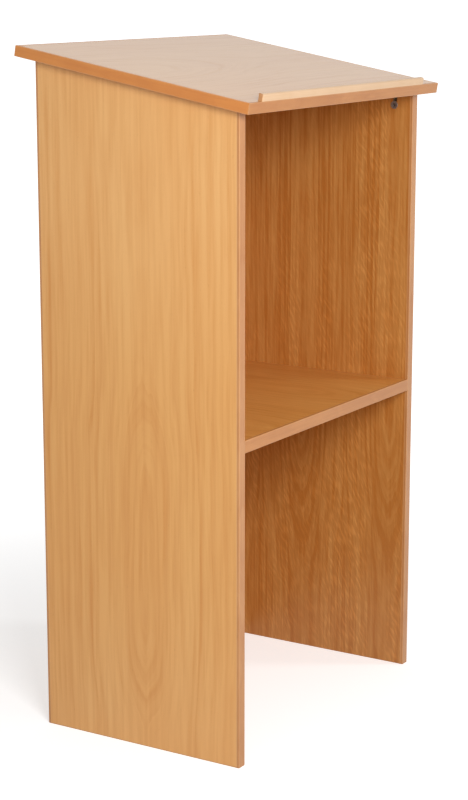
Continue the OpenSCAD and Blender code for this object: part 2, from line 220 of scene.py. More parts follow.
class Sketch:
    """Adds nodes to one tree and joins them, in a short line for each."""

    def __init__(self, tree):
        self.tree = tree

    def put(self, kind, **settings):
        row, column = divmod(len(self.tree.nodes), NODES_IN_ROW)
        node = self.tree.nodes.new(kind)
        node.location = (column * NODE_WIDTH, -row * NODE_HEIGHT)
        for name, value in settings.items():
            setattr(node, name, value)
        return node

    def feed(self, socket, value):
        """Links a socket to another one, or sets its value. A colour gets its alpha here."""
        if isinstance(value, bpy.types.NodeSocket):
            self.tree.links.new(value, socket)
        else:
            socket.default_value = (*value[:3], 1.0) if socket.type == "RGBA" else value

    def fill(self, sockets, values):
        for name, value in values.items():
            self.feed(sockets[name], value)

    def run(self, kind, *values, **settings):
        """The first output of a node whose first inputs take these values."""
        node = self.put(kind, **settings)
        for socket, value in zip(node.inputs, values):
            self.feed(socket, value)
        return node.outputs[0]

    def fed(self, kind, values, **settings):
        """The outputs of a node whose named inputs take these values."""
        node = self.put(kind, **settings)
        self.fill(node.inputs, values)
        return node.outputs

    def math(self, operation, *values, clamp=False):
        return self.run("ShaderNodeMath", *values, operation=operation, use_clamp=clamp)

    plus = partialmethod(math, "ADD")
    minus = partialmethod(math, "SUBTRACT")
    times = partialmethod(math, "MULTIPLY")
    times_plus = partialmethod(math, "MULTIPLY_ADD")
    over = partialmethod(math, "DIVIDE")
    past = partialmethod(math, "GREATER_THAN")
    short_of = partialmethod(math, "LESS_THAN")
    greater = partialmethod(math, "MAXIMUM")
    lesser = partialmethod(math, "MINIMUM")
    whole = partialmethod(math, "FLOOR")
    rest = partialmethod(math, "FRACT")
    unsigned = partialmethod(math, "ABSOLUTE")

    def vector(self, operation, *values):
        return self.run("ShaderNodeVectorMath", *values, operation=operation)

    def split(self, vector):
        return tuple(self.fed("ShaderNodeSeparateXYZ", {"Vector": vector}))

    def join(self, x, y, z):
        return self.run("ShaderNodeCombineXYZ", x, y, z)

    def paced(self, x, y, z, pace):
        """A place in a noise whose three parts each go at their own pace."""
        return self.vector("MULTIPLY", self.join(x, y, z), pace)

    def span(self, value, low, high, start=0.0, end=1.0, kind="SMOOTHSTEP"):
        """Takes low to high on to start to end, with soft or straight ends."""
        return self.run("ShaderNodeMapRange", value, low, high, start, end, interpolation_type=kind)

    def even(self, noise, start=0.0, end=1.0):
        """Takes the usual range of a noise on to start to end."""
        return self.span(noise, *EVEN_EDGES, start, end)

    def between(self, factor, a, b):
        """Goes straight from a to b with the factor."""
        return self.span(factor, 0.0, 1.0, a, b, kind="LINEAR")

    def noise(self, vector, scale=1.0, detail=2.0, roughness=0.5):
        values = {"Vector": vector, "Scale": scale, "Detail": detail, "Roughness": roughness}
        return self.fed("ShaderNodeTexNoise", values)[0]

    def wave(self, vector, detail=2.0):
        """A noise about zero."""
        return self.minus(self.noise(vector, detail=detail), 0.5)

    def chance(self, value):
        return self.fed("ShaderNodeTexWhiteNoise", {"W": value}, noise_dimensions="1D")["Value"]

    def object_place(self):
        """The place in the object's own coordinates."""
        return self.put("ShaderNodeTexCoord").outputs["Object"]

    def blend(self, factor, a, b, kind="MIX"):
        """One colour over another. The node's colours are its inputs 6 and 7 and its output 2."""
        node = self.put("ShaderNodeMix", data_type="RGBA", blend_type=kind)
        self.feed(node.inputs[0], factor)
        self.feed(node.inputs[6], a)
        self.feed(node.inputs[7], b)
        return node.outputs[2]

    def share(self, mask, part, a, b):
        """A part of one colour over another, where the mask shows."""
        return self.blend(self.times(mask, part), a, b)

    def tinted(self, base, tint):
        return self.blend(1.0, base, tint, "MULTIPLY")

    def group(self, tree, **values):
        """A group node, its inputs fed by name with spaces as underscores."""
        named = {name.replace("_", " "): value for name, value in values.items()}
        return self.fed("ShaderNodeGroup", named, node_tree=tree)

    def ended(self, values):
        """The tree, once it has an output of each of these names for each of these sockets."""
        for name, value in values.items():
            kind = OUTPUT_KINDS[value.type]
            self.tree.interface.new_socket(name=name, in_out="OUTPUT", socket_type=kind)
        self.fill(self.put("NodeGroupOutput").inputs, values)
        return self.tree


def new_group(name, inputs, kind="ShaderNodeTree"):
    """A sketch of a new group, and the group's input sockets by name. An input is given by its
    default, or by its kind where it has none."""
    tree = bpy.data.node_groups.new(name, kind)
    for label, default in inputs.items():
        has_default = not isinstance(default, str)
        socket_kind = INPUT_KINDS[type(default)] if has_default else default
        socket = tree.interface.new_socket(name=label, in_out="INPUT", socket_type=socket_kind)
        if has_default:
            socket.default_value = default
    sketch = Sketch(tree)
    return sketch, sketch.put("NodeGroupInput").outputs


def growth_rings_group():
    """Growth rings where a flat cut meets the log. The depth of the cut below the ring's centre
    rises and falls along the leaf, which draws nested arches and islands round its axis. Over the
    level share it stays the same, and the grain there is straight."""
    s, given = new_group("Oak growth rings", {
        "Place": NOWHERE, "Ring Width": 0.01, "Leaf Width": 1.0, "Crown Place": 0.0, "Cut Depth": 0.06,
        "Cut Swing": 0.04, "Arch Length": 1.1, "Arch Height": 0.0, "Level Share": 0.0, "Waver": 0.02,
        "Dips": 0.03, "Leaf Change": 1.0, "Seed": 0.0,
    })
    across, _, along = s.split(given["Place"])
    wander = s.wave(s.paced(across, given["Seed"], along, WANDER_PACE))
    shift = s.times(wander, s.times(given["Waver"], 2.0))
    from_crown = s.plus(s.minus(across, given["Crown Place"]), shift)
    leaves = s.plus(s.over(from_crown, given["Leaf Width"]), 0.5)
    in_leaf = s.times(s.minus(s.rest(leaves), 0.5), given["Leaf Width"])
    leaf = s.times(s.whole(leaves), given["Leaf Change"])
    turn = s.over(s.minus(along, given["Arch Height"]), given["Arch Length"])
    rise = s.math("COSINE", s.times(turn, 2 * math.pi))
    level = s.times_plus(given["Level Share"], 2.0, -1.0)
    swing = s.span(rise, level, 1.0, -1.0, 1.0)
    depth = s.minus(given["Cut Depth"], s.times(swing, given["Cut Swing"]))
    dips = s.wave(s.paced(along, leaf, given["Seed"], DIP_PACE))
    depth = s.times_plus(dips, given["Dips"], depth)
    radius = s.math("SQRT", s.plus(s.math("POWER", in_leaf, 2.0), s.math("POWER", depth, 2.0)))
    ripple = s.wave(s.paced(across, s.plus(given["Seed"], leaf), along, RIPPLE_PACE), detail=3.0)
    rings = s.plus(s.over(radius, given["Ring Width"]), s.times(ripple, RIPPLE))
    part = s.rest(rings)
    start = s.span(part, 0.0, BAND_PEAK)
    fade = s.span(part, BAND_PEAK, BAND_END, 1.0, 0.0)
    mark = s.times(s.plus(leaf, given["Seed"]), MARK_STEP)
    tone = s.chance(s.plus(s.whole(rings), mark))
    patch = s.span(s.noise(s.paced(rings, mark, along, PATCH_PACE)), *PATCH_EDGES)
    ring_strength = s.times_plus(tone, 1 - WEAKEST_RING, WEAKEST_RING)
    patch_strength = s.times_plus(patch, 1 - WEAKEST_PATCH, WEAKEST_PATCH)
    strength = s.times(ring_strength, patch_strength)
    return s.ended({
        "Band": s.times(s.times(start, fade), strength),
        "Ring Tone": tone,
        "Flow": s.noise(s.paced(rings, mark, along, FLOW_PACE)),
        "Streak": s.noise(s.paced(rings, mark, along, STREAK_PACE), roughness=0.6),
    })


def fibres_group():
    """Long soft streaks along the grain."""
    s, given = new_group("Wood fibres", {"Place": NOWHERE, "Width": 0.003, "Length": 0.2, "Seed": 0.0})
    across, through, along = s.split(given["Place"])
    layer = s.plus(s.over(through, given["Width"]), given["Seed"])
    cells = s.join(s.over(across, given["Width"]), layer, s.over(along, given["Length"]))
    return s.ended({"Streak": s.noise(cells, roughness=0.55)})


def pores_group(fibres):
    """Short dark dashes along the grain."""
    s, given = new_group("Oak pores", {
        "Place": NOWHERE, "Width": 0.0006, "Length": 0.009, "Share": 0.35, "Seed": 0.0,
    })
    streak = s.group(
        fibres, Place=given["Place"], Width=given["Width"], Length=given["Length"], Seed=given["Seed"]
    )["Streak"]
    edge = s.minus(PORE_EDGE, s.times(given["Share"], PORE_SPREAD))
    return s.ended({"Pore": s.span(streak, edge, s.plus(edge, PORE_SOFTNESS))})


def ray_fleck_group():
    """Short slanting flecks in some strips of the leaf, where the cut runs near the rays."""
    s, given = new_group("Oak ray fleck", {
        "Place": NOWHERE, "Width": 0.0045, "Length": 0.022, "Tilt": 0.4, "Strips": 14.0, "Seed": 0.0,
    })
    across, _, along = s.split(given["Place"])
    bend = s.times(s.wave(s.paced(across, given["Seed"], along, BEND_PACE)), BEND_REACH)
    slanted = s.plus(s.plus(across, bend), s.times(along, given["Tilt"]))
    cells = s.join(s.over(slanted, given["Width"]), given["Seed"], s.over(along, given["Length"]))
    fleck = s.span(s.noise(cells, detail=1.0), *FLECK_EDGES)
    strip_place = s.join(s.times(across, given["Strips"]), given["Seed"], s.times(along, STRIP_PACE))
    strips = s.span(s.noise(strip_place, detail=1.0), *STRIP_EDGES, LEAST_STRIP, 1.0)
    return s.ended({"Fleck": s.times(fleck, strips)})


def tone_drift_group():
    """Slow changes of tone over a board."""
    s, given = new_group("Tone drift", {"Place": NOWHERE, "Across": 7.0, "Along": 1.6, "Seed": 0.0})
    across, _, along = s.split(given["Place"])
    cells = s.join(s.times(across, given["Across"]), given["Seed"], s.times(along, given["Along"]))
    return s.ended({"Drift": s.span(s.noise(cells), *DRIFT_EDGES, kind="LINEAR")})


def arris_wear_group():
    """Nearness to an arris of a box, where two of its faces are close at once."""
    s, given = new_group("Arris wear", {"Place": NOWHERE, "Half Size": (1.0, 1.0, 1.0), "Width": 0.003})
    inside = s.vector("SUBTRACT", given["Half Size"], s.vector("ABSOLUTE", given["Place"]))
    x, y, z = s.split(inside)
    farthest = s.greater(x, s.greater(y, z))
    near_two = s.minus(s.plus(x, s.plus(y, z)), farthest)
    patchy = s.noise(s.vector("MULTIPLY", given["Place"], WEAR_PACE), detail=3.0)
    reach = s.times(given["Width"], s.plus(patchy, 0.5))
    return s.ended({"Wear": s.span(near_two, 0.0, reach, 1.0, 0.0)})


def chipboard_group():
    """Pressed wood chips, seen where a board's core is cut."""
    s, given = new_group("Chipboard core", {"Place": NOWHERE, "Chip Size": 0.003})
    chip_size = s.join(given["Chip Size"], given["Chip Size"], given["Chip Size"])
    chips = s.fed("ShaderNodeTexVoronoi", {"Vector": s.vector("DIVIDE", given["Place"], chip_size)})
    chip = s.split(chips["Color"])[0]
    return s.ended({"Colour": s.blend(chip, CHIP_DARK, CHIP_LIGHT), "Height": chips["Distance"]})


@cache
def effects():
    """The shader groups that more than one finish uses, each built once."""
    fibres = fibres_group()
    return SimpleNamespace(
        rings=growth_rings_group(), fibres=fibres, pores=pores_group(fibres), fleck=ray_fleck_group(),
        drift=tone_drift_group(), wear=arris_wear_group(), chips=chipboard_group(),
    )


# Boards and their own axes

class Board:
    """A board's middle, half sizes and axes: across the grain, out through a face, along the grain."""

    def __init__(self, node, across, through, along):
        low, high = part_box(node)
        self.middle = (low + high) / 2
        self.turn = Matrix((across, through, along)).transposed().to_euler()
        points = np.array([v.co for v in frame["nodes"][node].data.vertices]) - np.array(self.middle)
        reach = [np.abs(points @ np.array(axis)).max() for axis in (across, through, along)]
        self.half = Vector(reach)

    def place(self, sketch):
        """The object's coordinates, centred on the board and turned to its axes."""
        values = {"Vector": sketch.object_place(), "Location": self.middle, "Rotation": self.turn}
        return sketch.fed("ShaderNodeMapping", values, vector_type="TEXTURE")[0]


@dataclass
class Leaf:
    """How one face's veneer, or a solid strip, was cut from the log. Matched leaves show the same
    figure. A leaf with painted sheen is paler towards its ends than near a place a little below the
    middle, most towards the top. A leaf's tint, where it has one, is painted shade."""
    seed: float
    crown: float = 0.0
    width: float = 2.0
    depth: float = 0.06
    swing: float = 0.045
    length: float = 1.1
    height: float = 0.0
    ring: float = 0.011
    waver: float = 0.012
    dips: float = 0.03
    matched: bool = False
    grain: float = 1.0
    fleck: float = 0.0
    contrast: float = 1.0
    lines: float = 1.0
    level: float = 0.0
    painted_sheen: float = 0.0
    # tint, where given, is painted shade on the leaf
    tint: tuple = None


@dataclass
class Tones:
    """The colours and gloss of one kind of wood."""
    light: tuple
    dark: tuple
    warm: tuple
    end: tuple
    pore: tuple
    worn: tuple
    pore_share: float
    gloss: float


def figure(s, place, leaf, tones):
    """The colour, pore mask and band mask of one leaf of oak."""
    made = effects()
    rings = s.group(
        made.rings, Place=place, Ring_Width=leaf.ring, Leaf_Width=leaf.width, Crown_Place=leaf.crown,
        Cut_Depth=leaf.depth, Cut_Swing=leaf.swing, Arch_Length=leaf.length, Arch_Height=leaf.height,
        Level_Share=leaf.level, Waver=leaf.waver, Dips=leaf.dips,
        Leaf_Change=0.0 if leaf.matched else 1.0, Seed=leaf.seed,
    )
    fine = s.group(
        made.fibres, Place=place, Width=FINE_WIDTH * leaf.grain, Length=FINE_LENGTH * leaf.grain,
        Seed=leaf.seed + FINE_SEED,
    )["Streak"]
    drift = s.group(made.drift, Place=place, Seed=leaf.seed)["Drift"]
    pore = s.group(made.pores, Place=place, Share=tones.pore_share, Seed=leaf.seed)["Pore"]
    streaks = STREAK_DARK * leaf.contrast / leaf.grain
    dark = s.times(rings["Band"], BAND_DARK * leaf.contrast * leaf.lines)
    dark = s.plus(dark, s.even(rings["Flow"], FLOW_LIGHT, FLOW_DARK * leaf.contrast))
    dark = s.plus(dark, s.even(rings["Streak"], STREAK_LIGHT * streaks, streaks))
    dark = s.plus(dark, s.even(fine, FINE_LIGHT, FINE_DARK * leaf.contrast))
    ring_tone = s.span(rings["Ring Tone"], 0.0, 1.0, RING_LIGHT, RING_DARK)
    dark = s.plus(dark, ring_tone, clamp=True)
    wood = s.blend(dark, tones.light, tones.dark)
    wood = s.share(drift, WARM_SHARE, wood, tones.warm)
    if leaf.fleck > 0:
        fleck = s.group(made.fleck, Place=place, Seed=leaf.seed)["Fleck"]
        wood = s.blend(s.times(fleck, leaf.fleck), wood, s.tinted(wood, FLECK_TINT))
    # Painted sheen: paler towards the leaf's ends, most towards the top
    if leaf.painted_sheen > 0:
        from_least_sheen = s.unsigned(s.minus(s.split(place)[2], LEAST_SHEEN_PLACE))
        ends = s.span(from_least_sheen, UNSHEENED_REACH, PAINTED_SHEEN_REACH)
        wood = s.blend(s.times(ends, leaf.painted_sheen), wood, s.tinted(wood, PAINTED_SHEEN_TINT))
    open_pores = s.times(pore, s.span(rings["Band"], 0.0, BAND_OPEN, LEAST_OPEN, 1.0))
    wood = s.share(open_pores, PORE_SHADE, wood, tones.pore)
    # Painted shade where the leaf has a tint
    if leaf.tint is not None:
        wood = s.tinted(wood, leaf.tint)
    return wood, open_pores, rings["Band"]


def surfaced(material, s, relief, height, values):
    """Joins a fine relief and these values to the material's surface."""
    bump = s.fed("ShaderNodeBump", {"Strength": relief, "Distance": RELIEF_DISTANCE, "Height": height})
    s.fill(s.tree.nodes["Principled BSDF"].inputs, {"Normal": bump[0], **values})
    return material


def new_material(name):
    material = bpy.data.materials.new(name)
    material.use_nodes = True
    return material, Sketch(material.node_tree)


def oak_finish(name, board, tones, outside, inside=None, veneer=0.0, arris=0.002, coat=0.0,
               end_skin=END_SKIN):
    """Lacquered oak on one board. A veneered board shows its chipboard core where it is cut, and its
    two faces may be of different leaves. The end grain's colour shows over the end skin, which on the
    panels and upright lippings is a wider darker band along their ends."""
    made = effects()
    material, s = new_material(name)
    place = board.place(s)
    across, through, along = s.split(place)
    wood, pore, band = figure(s, place, outside, tones)
    if inside is not None:
        other, other_pore, other_band = figure(s, place, inside, tones)
        is_inside = s.short_of(through, 0.0)
        wood = s.blend(is_inside, wood, other)
        pore = s.between(is_inside, pore, other_pore)
        band = s.between(is_inside, band, other_band)
    wear = s.group(made.wear, Place=place, Half_Size=board.half, Width=arris)["Wear"]
    wood = s.share(wear, WEAR_SHARE, wood, tones.worn)
    wood = s.share(s.past(s.unsigned(along), board.half.z - end_skin), END_SHARE, wood, tones.end)
    height = s.minus(1.0, s.times(pore, PORE_DEPTH))
    dull_band = s.span(band, 0.0, 1.0, tones.gloss, tones.gloss + BAND_DULLNESS)
    rough = s.times_plus(pore, PORE_DULLNESS, dull_band)
    if veneer > 0:
        core = s.group(made.chips, Place=place)
        joint = s.past(s.unsigned(across), board.half.x - JOINT_LINE)
        wood = s.share(joint, JOINT_SHARE, wood, tones.pore)
        in_core = s.short_of(s.unsigned(through), board.half.y - veneer)
        wood = s.blend(in_core, wood, core["Colour"])
        rough = s.between(in_core, rough, CORE_ROUGHNESS)
        height = s.between(in_core, height, core["Height"])
    return surfaced(material, s, WOOD_RELIEF, height, {
        "Base Color": wood, "Roughness": rough, "Coat Weight": coat, "Coat Roughness": COAT_ROUGHNESS,
    })


def finish_node(node, material):
    """Gives a CAD node one material in place of its plain one."""
    slots = frame["nodes"][node].data.materials
    slots.clear()
    slots.append(material)


# Fittings

def beech_finish():
    """Plain dull beech."""
    material, s = new_material("Plain beech")
    speckle = s.noise(s.object_place(), BEECH_SPECKLE, detail=3.0)
    tint = s.blend(s.span(speckle, *SPECKLE_EDGES), BEECH_DARK, BEECH_LIGHT)
    dull = s.span(speckle, *WIDE_EDGES, *BEECH_ROUGHNESS)
    return surfaced(material, s, FITTING_RELIEF, speckle, {"Base Color": tint, "Roughness": dull})


def metal_finish(name, base, dark, roughness, grain):
    """Cast or drawn metal with fine mottling and a little grime in it."""
    material, s = new_material(name)
    place = s.object_place()
    mottle = s.noise(place, grain, detail=3.0, roughness=0.6)
    grime = s.span(s.noise(place, grain / GRIME_SPREAD), *GRIME_EDGES)
    tint = s.blend(s.even(mottle), base, [part * METAL_LIFT for part in base])
    tint = s.share(grime, GRIME_SHARE, tint, dark)
    patchy = s.span(mottle, *WIDE_EDGES, roughness + POLISH, roughness + DULLNESS)
    return surfaced(material, s, FITTING_RELIEF, mottle, {
        "Base Color": tint, "Roughness": patchy, "Metallic": METALLIC,
    })


def cam_seat(cam):
    """The middle of a cam's face, the way out of it, and the way to its bolt."""
    joint = next(joint for joint in frame["joints"] if joint["child"] == cam)
    out = Vector(joint["axis"])
    side = ACROSS_X if "right" in cam else -ACROSS_X
    return Vector(joint["pos_m"]), out, TOP_NORMAL if cam.startswith("top") else side


def seat_turn(out, ahead):
    """The turn that points Z out and Y ahead."""
    return Matrix((ahead.cross(out), ahead, out)).transposed().to_euler()


def dressed(s, geometry, material):
    """Real geometry in one material, in place of copies."""
    whole = s.run("GeometryNodeRealizeInstances", geometry)
    return s.fed("GeometryNodeSetMaterial", {"Geometry": whole, "Material": material})[0]


def arrow_group():
    """A small raised arrow on a cam's face that points to its bolt."""
    s, given = new_group("Cam arrow", {
        "Arrow Length": 0.0024, "Arrow Width": 0.0022, "Height": 0.00025, "From Centre": 0.0044,
        "Origin": NOWHERE, "Turn": NOWHERE, "Material": MATERIAL,
    }, "GeometryNodeTree")
    disc = s.fed("GeometryNodeMeshCircle", {"Vertices": 3, "Radius": 1.0}, fill_type="NGON")
    half_width = s.over(given["Arrow Width"], TRIANGLE_WIDTH)
    scale_y = s.over(given["Arrow Length"], TRIANGLE_HEIGHT)
    shape = s.fed("GeometryNodeTransform", {
        "Geometry": disc[0],
        "Translation": s.join(0.0, given["From Centre"], 0.0),
        "Scale": s.join(half_width, scale_y, 1.0),
    })
    raised = s.fed("GeometryNodeExtrudeMesh", {"Mesh": shape[0], "Offset Scale": given["Height"]})
    placed = s.fed("GeometryNodeTransform", {
        "Geometry": raised["Mesh"], "Translation": given["Origin"], "Rotation": given["Turn"],
    })
    return s.ended({"Geometry": dressed(s, placed[0], given["Material"])})


def swept_copies(s, given, rail, profile):
    """A profile drawn along a rail, with a copy on each station whose Z follows the station's way."""
    swept = s.fed("GeometryNodeCurveToMesh", {"Curve": rail, "Profile Curve": profile, "Fill Caps": True})
    way = s.fed("GeometryNodeInputNamedAttribute", {"Name": WAY}, data_type="FLOAT_VECTOR")
    turn = s.fed("FunctionNodeAlignRotationToVector", {"Vector": way["Attribute"]}, axis="Z")
    dots = s.fed("GeometryNodeMeshToPoints", {"Mesh": given["Stations"]})
    copies = s.fed("GeometryNodeInstanceOnPoints", {
        "Points": dots[0], "Instance": swept[0], "Rotation": turn[0],
    })
    return dressed(s, copies[0], given["Material"])


def thread_group():
    """A helical wood thread round the screwed end of each bolt, fading out at both ends."""
    s, given = new_group("Wood thread", {
        "Stations": GEOMETRY, "Pitch": 0.0018, "Root Radius": 0.0025, "Height": 0.0008,
        "Length": 0.0095, "Material": MATERIAL,
    }, "GeometryNodeTree")
    spiral = s.fed("GeometryNodeCurveSpiral", {
        "Resolution": TURN_STEPS,
        "Rotations": s.over(given["Length"], given["Pitch"]),
        "Start Radius": given["Root Radius"],
        "End Radius": given["Root Radius"],
        "Height": given["Length"],
    })
    upright = s.fed("GeometryNodeSetCurveNormal", {"Curve": spiral[0]}, mode="Z_UP")
    part = s.put("GeometryNodeSplineParameter").outputs["Factor"]
    rise = s.span(part, 0.0, RUN_IN, THIN, 1.0)
    fall = s.span(part, RUN_OUT, 1.0, 1.0, THIN)
    taper = s.lesser(rise, fall)
    tapered = s.fed("GeometryNodeSetCurveRadius", {"Curve": upright[0], "Radius": taper})
    ridge = s.fed("GeometryNodeCurvePrimitiveCircle", {"Resolution": 3, "Radius": given["Height"]})
    return s.ended({"Geometry": swept_copies(s, given, tapered[0], ridge[0])})


def dowel_group():
    """Fluted dowels with chamfered ends, one about each station. The rail of a dowel has four
    points, its two ends and the places where the chamfers begin."""
    s, given = new_group("Fluted dowels", {
        "Stations": GEOMETRY, "Radius": 0.004, "Length": 0.03, "Flutes": 16, "Flute Depth": 0.0003,
        "Chamfer": 0.001, "Material": MATERIAL,
    }, "GeometryNodeTree")
    line = s.put("GeometryNodeCurvePrimitiveLine").outputs[0]
    rail = s.fed("GeometryNodeResampleCurve", {"Curve": line, "Count": 4})
    index = s.put("GeometryNodeInputIndex").outputs[0]
    past_first, past_second, past_third = [s.past(index, point + 0.5) for point in range(3)]
    straight = s.minus(given["Length"], s.times(given["Chamfer"], 2.0))
    chamfers = s.times(s.plus(past_first, past_third), given["Chamfer"])
    height = s.times_plus(past_second, straight, chamfers)
    height = s.minus(height, s.times(given["Length"], 0.5))
    placed = s.fed("GeometryNodeSetPosition", {"Geometry": rail[0], "Position": s.join(0.0, 0.0, height)})
    narrow = s.minus(1.0, s.over(given["Chamfer"], given["Radius"]))
    girth = s.greater(s.minus(past_first, past_third), narrow)
    shaped = s.fed("GeometryNodeSetCurveRadius", {"Curve": placed[0], "Radius": girth})
    star = s.fed("GeometryNodeCurveStar", {
        "Points": given["Flutes"],
        "Outer Radius": given["Radius"],
        "Inner Radius": s.minus(given["Radius"], given["Flute Depth"]),
    })
    return s.ended({"Geometry": swept_copies(s, given, shaped[0], star[0])})


# Meshes and objects

def linked(name, data):
    """A new object in the scene."""
    piece = bpy.data.objects.new(name, data)
    bpy.context.scene.collection.objects.link(piece)
    return piece


def stations(name, places):
    """Points with the way that each one faces."""
    mesh = bpy.data.meshes.new(name)
    mesh.from_pydata([tuple(place) for place, _ in places], [], [])
    ways = mesh.attributes.new(WAY, "FLOAT_VECTOR", "POINT")
    for point, (_, way) in zip(ways.data, places):
        point.vector = way
    return mesh


def grown(name, tree, values, seed_mesh=None):
    """A plain mesh object grown by a geometry tree with these input values."""
    start = linked(name + ".seed", seed_mesh or bpy.data.meshes.new(name + ".seed"))
    modifier = start.modifiers.new("Grow", "NODES")
    modifier.node_group = tree
    sockets = {item.name: item.identifier for item in tree.interface.items_tree if item.in_out == "INPUT"}
    for label, value in values.items():
        modifier[sockets[label]] = value
    graph = bpy.context.evaluated_depsgraph_get()
    mesh = bpy.data.meshes.new_from_object(start.evaluated_get(graph), depsgraph=graph)
    bpy.data.objects.remove(start)
    if not mesh.polygons:
        raise RuntimeError(name + " came out empty")
    mesh.name = name
    return linked(name, mesh)


def merged(mesh):
    """A working copy of a mesh with its doubled points merged."""
    shape = bmesh.new()
    shape.from_mesh(mesh)
    bmesh.ops.remove_doubles(shape, verts=shape.verts, dist=SAME_POINT)
    return shape


def outward(piece):
    """Merges doubles and turns every face of a closed mesh outwards."""
    shape = merged(piece.data)
    bmesh.ops.recalc_face_normals(shape, faces=shape.faces)
    shape.to_mesh(piece.data)
    shape.free()
    return piece


def solids_of(node):
    """The vertices of each separate solid in a CAD node, as arrays."""
    shape = merged(frame["nodes"][node].data)
    left = set(shape.verts)
    solids = []
    while left:
        front = [left.pop()]
        found = list(front)
        while front:
            vertex = front.pop()
            for edge in vertex.link_edges:
                other = edge.other_vert(vertex)
                if other in left:
                    left.remove(other)
                    front.append(other)
                    found.append(other)
        solids.append(np.array([v.co for v in found]))
    shape.free()
    return sorted(solids, key=lambda points: tuple(points.mean(0).round(4)))


def long_axis(points):
    """The middle of a round rod, the way along it, and its two ends along that way."""
    middle = (points.min(0) + points.max(0)) / 2
    way = np.linalg.eigh(np.cov((points - middle).T))[1][:, -1]
    along = (points - middle) @ way
    side = (points - middle) - np.outer(along, way)
    middle = middle + side.mean(0)
    return Vector(middle), Vector(way), along.min(), along.max()


def radius_near(points, middle, way, place, reach):
    """The largest radius of a round rod within a distance of a place on it."""
    along = (points - np.array(place)) @ np.array(way)
    near = points[np.abs(along) <= reach] - np.array(middle)
    side = near - np.outer(near @ np.array(way), np.array(way))
    return float(np.linalg.norm(side, axis=1).max())


# Settings

def rgb(name, description, default):
    return FloatVectorProperty(
        name=name, description=description, subtype="COLOR", default=default, min=0, max=1)


def metres(name, description, default, low, high):
    return FloatProperty(
        name=name, description=description, unit="LENGTH", default=default, min=low, max=high)


def share(name, description, default, low=0.0, high=1.0):
    return FloatProperty(
        name=name, description=description, subtype="FACTOR", default=default, min=low, max=high)


def watts(name, description, default):
    return FloatProperty(name=name, description=description, unit="POWER", default=default, min=0, max=1000)


def degrees(name, description, default):
    return FloatProperty(
        name=name, description=description, subtype="ANGLE", default=math.radians(default))


class LecternWoodSettings(bpy.types.PropertyGroup):
    veneer_light: rgb("Veneer light", "Lightest tone of the veneer", (0.76, 0.395, 0.125))
    veneer_dark: rgb("Veneer dark", "Tone of the early wood in the veneer", (0.57, 0.22, 0.042))
    veneer_warm: rgb("Veneer warm", "Tone of the warmer parts of a leaf", (0.68, 0.285, 0.065))
    upright_light: rgb(
        "Upright lipping light", "Lightest tone of the side panels' lippings", (0.585, 0.272, 0.097))
    upright_dark: rgb(
        "Upright lipping dark", "Darkest tone of the side panels' lippings", (0.45, 0.174, 0.049))
    cross_light: rgb(
        "Cross lipping light", "Lightest tone of the level lippings that face the speaker",
        (0.54, 0.218, 0.052))
    cross_dark: rgb(
        "Cross lipping dark", "Darkest tone of the level lippings that face the speaker",
        (0.415, 0.145, 0.028))
    edge_light: rgb("Edge lipping light", "Lightest tone of the other lippings", (0.66, 0.25, 0.055))
    edge_dark: rgb("Edge lipping dark", "Darkest tone of the other lippings", (0.52, 0.17, 0.035))
    bead_light: rgb("Bead light", "Lightest tone of the book stop", (0.73, 0.48, 0.28))
    bead_dark: rgb("Bead dark", "Darkest tone of the book stop", (0.62, 0.37, 0.18))
    pore_colour: rgb("Pores", "Colour in the open pores", (0.3, 0.12, 0.035))
    worn_colour: rgb("Worn arrises", "Colour where handling has rubbed the arrises", (0.8, 0.47, 0.22))
    end_colour: rgb("End grain", "Colour of the wood where it is cut across the grain", (0.42, 0.17, 0.045))
    # Painted shade: darkens the leaves inside the lectern and under the reading board, where the panels and
    # boards shade them
    inner_painted_shade: rgb("Painted shade inside", "Painted shade on the inner faces and under the reading board", (0.79, 0.72, 0.62))
    # Painted shade: darkens and warms the shelf, which lies shaded inside the lectern
    shelf_painted_shade: rgb("Shelf painted shade", "Painted shade on the shelf inside the lectern", (0.97, 0.93, 0.8))
    # Painted shade: darkens the reading board's upper face to suit the light that falls on it
    top_painted_shade: rgb("Reading board painted shade", "Painted shade on the reading board's upper face", (0.93, 0.95, 1.0))
    pore_share: share("Pore share", "How much of the face the pores take", 0.35)
    gloss: share("Lacquer roughness", "Roughness of the satin lacquer", 0.36, 0.1, 0.9)
    top_coat: share("Reading board coat", "Share of a second coat of lacquer on the reading board", 0.5)
    veneer: metres("Veneer thickness", "Thickness of the veneer over the core", 0.0007, 0.0003, 0.003)


class LecternFittingSettings(bpy.types.PropertyGroup):
    zinc: rgb("Zinc", "Colour of the cast cams", (0.35, 0.35, 0.34))
    steel: rgb("Steel", "Colour of the bolts", (0.2, 0.18, 0.15))
    wire: rgb("Wire", "Colour of the stop's pins", (0.5, 0.5, 0.5))
    arrow_length: metres("Arrow length", "Length of the arrow on a cam", 0.0022, 0.001, 0.004)
    arrow_height: metres("Arrow height", "Height of the arrow above a cam's face", 0.00025, 0.0001, 0.001)
    thread_pitch: metres("Thread pitch", "Pitch of the bolts' wood thread", 0.0018, 0.001, 0.003)
    thread_height: metres(
        "Thread height", "Height of the thread above the bolt's root", 0.0008, 0.0003, 0.0012)
    thread_start: metres("Thread start", "Distance of the thread from the bolt's tip", 0.001, 0.0005, 0.003)
    thread_length: metres("Thread length", "Length of the threaded part", 0.0092, 0.004, 0.0098)
    flutes: IntProperty(
        name="Dowel flutes", description="Number of flutes round a dowel", default=16, min=8, max=32)
    flute_depth: metres("Flute depth", "Depth of the flutes in a dowel", 0.0003, 0.0001, 0.001)


